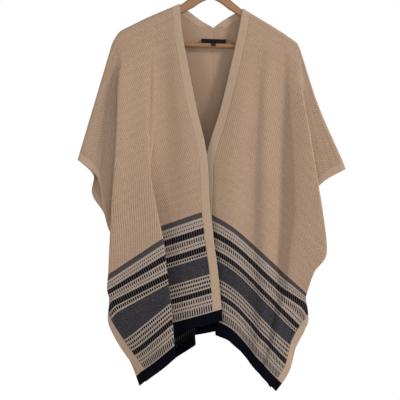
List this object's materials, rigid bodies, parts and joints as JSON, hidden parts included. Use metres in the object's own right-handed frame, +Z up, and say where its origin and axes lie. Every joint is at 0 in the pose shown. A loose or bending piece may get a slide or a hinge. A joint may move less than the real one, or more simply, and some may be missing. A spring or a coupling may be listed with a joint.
{
  "type": "knitted poncho on a hanger",
  "caption": "Open-front knitted poncho with patterned stripes and a dark hem, hanging from a wooden hanger with a crossbar.",
  "frame": {"origin": "inside top of the hanger's hook, where a rail carries it", "axes": "+Z up, -Y towards the front of the garment, +X to the wearer's left"},
  "size_m": [0.6441, 0.0959, 1.0356],
  "materials": {
    "beige_knit": "matte",
    "band_knit": "matte",
    "navy_knit": "matte",
    "label_satin": "satin",
    "tab_satin": "satin",
    "wood": "satin",
    "steel": "polished"
  },
  "bodies": {
    "root": {"right_front_panel": "beige_knit", "right_front_border": "band_knit", "right_front_hem": "navy_knit", "right_back_panel": "beige_knit", "right_back_border": "band_knit", "right_back_hem": "navy_knit", "right_front_band": "band_knit", "left_front_panel": "beige_knit", "left_front_border": "band_knit", "left_front_hem": "navy_knit", "left_back_panel": "beige_knit", "left_back_border": "band_knit", "left_back_hem": "navy_knit", "left_front_band": "band_knit", "hanger_arms": "wood", "hook": "steel", "crossbar": "wood", "label": "label_satin", "size_tab": "tab_satin"}
  },
  "joints": []
}
